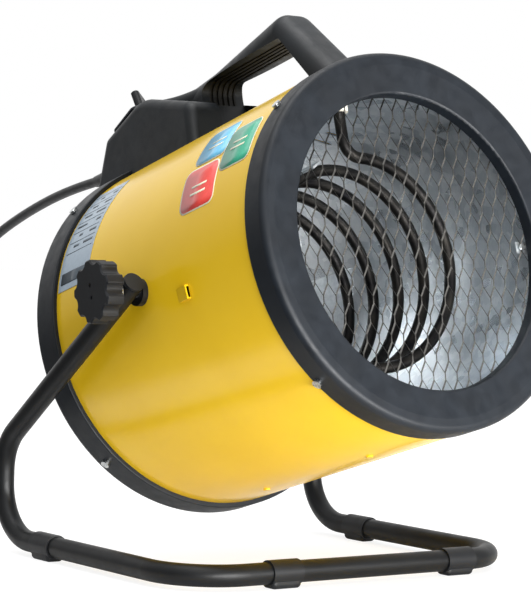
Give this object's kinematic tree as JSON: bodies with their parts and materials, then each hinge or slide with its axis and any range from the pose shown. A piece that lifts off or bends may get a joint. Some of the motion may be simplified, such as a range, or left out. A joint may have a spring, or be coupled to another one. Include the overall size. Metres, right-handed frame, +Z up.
{
  "type": "fan heater",
  "caption": "Electric fan heater with a round drum that tilts on a bent tube stand, with a carrying handle, control box and mains cable.",
  "frame": {"origin": "on the floor, under the middle of the box round the heater without its cable, coil and plug", "axes": "+Z up; -Y the way the drum's mouth faces when it is level; X along the line of the clamp studs"},
  "size_m": [0.3614, 0.6704, 0.4168],
  "materials": {
    "yellow_paint": "gloss paint on sheet steel",
    "black_paint": "satin powder coat",
    "black_plastic": "finely textured moulding",
    "grip_plastic": "soft ribbed moulding",
    "knob_plastic": "moulded",
    "net_steel": "bright expanded metal",
    "galvanised": "galvanised sheet",
    "element_steel": "dark heat-tinted tube",
    "bright_steel": "zinc-plated fasteners",
    "steel": "turned steel",
    "ceramic": "unglazed ceramic",
    "fan_aluminium": "pressed sheet",
    "motor_steel": "stoved enamel",
    "terminal_plastic": "moulded",
    "dial_plastic": "printed plate",
    "plate_foil": "satin foil",
    "decal_film": "printed film",
    "cable_rubber": "matt sheath",
    "plug_rubber": "moulded",
    "pin_brass": "nickel-plated brass",
    "tie_plastic": "strap"
  },
  "bodies": {
    "stand": {"stand_tube": "black_paint", "tube_end_plugs": "black_plastic", "foot_clips": "black_plastic", "mains_cable": "cable_rubber", "cable_coil": "cable_rubber", "coil_tie": "tie_plastic", "plug_body": "plug_rubber", "plug_pins": "pin_brass"},
    "drum": {"drum_shell": "yellow_paint", "seam_rivets": "bright_steel", "front_ring": "black_plastic", "rear_ring": "black_plastic", "ring_screws": "bright_steel", "front_grille": "net_steel", "grille_rivets": "bright_steel", "grille_tabs": "galvanised", "inner_duct": "galvanised", "duct_brackets": "galvanised", "thermal_cutout": "ceramic", "heating_element": "element_steel", "ceramic_bushes": "ceramic", "terminal_pins": "steel", "element_supports": "galvanised", "motor_body": "motor_steel", "motor_screws": "bright_steel", "rear_guard": "black_paint", "control_housing": "black_plastic", "grip_liner": "grip_plastic", "dial_plate": "dial_plastic", "selector_switch": "terminal_plastic", "thermostat": "steel", "terminal_block": "terminal_plastic", "housing_screws": "bright_steel", "cable_gland": "plug_rubber", "data_plate": "plate_foil", "side_decal": "decal_film", "left_spacer": "black_plastic", "right_spacer": "black_plastic", "left_weld_nut": "steel", "right_weld_nut": "steel"},
    "fan": {"fan_impeller": "fan_aluminium", "fan_hub": "steel", "hub_screw": "steel", "motor_shaft": "steel"},
    "left_clamp": {"left_clamp_knob": "knob_plastic", "left_stud": "bright_steel", "left_washer": "bright_steel"},
    "right_clamp": {"right_clamp_knob": "knob_plastic", "right_stud": "bright_steel", "right_washer": "bright_steel"},
    "selector": {"selector_knob": "knob_plastic", "selector_spindle": "steel"},
    "thermostat_dial": {"thermostat_knob": "knob_plastic", "thermostat_spindle": "steel"}
  },
  "joints": [
    {"name": "drum_tilt", "type": "hinge", "parent": "stand", "child": "drum", "pos_m": [0, -0.01818, 0.2057], "axis": [-1, 0, 0], "range_deg": [-16.56, 28.44], "deforming": ["mains_cable"]},
    {"name": "fan_spin", "type": "hinge", "parent": "drum", "child": "fan", "pos_m": [0, -0.01818, 0.2057], "axis": [0, -0.9585, 0.285], "continuous": true},
    {"name": "left_clamp_turn", "type": "hinge", "parent": "drum", "child": "left_clamp", "pos_m": [-0.1507, -0.01818, 0.2057], "axis": [-1, 0, 0], "range_deg": [0, 360]},
    {"name": "right_clamp_turn", "type": "hinge", "parent": "drum", "child": "right_clamp", "pos_m": [0.1507, -0.01818, 0.2057], "axis": [1, 0, 0], "range_deg": [0, 360]},
    {"name": "selector_turn", "type": "hinge", "parent": "drum", "child": "selector", "pos_m": [-0.025, 0.1542, 0.34203], "axis": [0, 0.5735, 0.8192], "range_deg": [-90, 45]},
    {"name": "thermostat_turn", "type": "hinge", "parent": "drum", "child": "thermostat_dial", "pos_m": [0.025, 0.1542, 0.34203], "axis": [0, 0.5735, 0.8192], "range_deg": [-180, 90]}
  ]
}
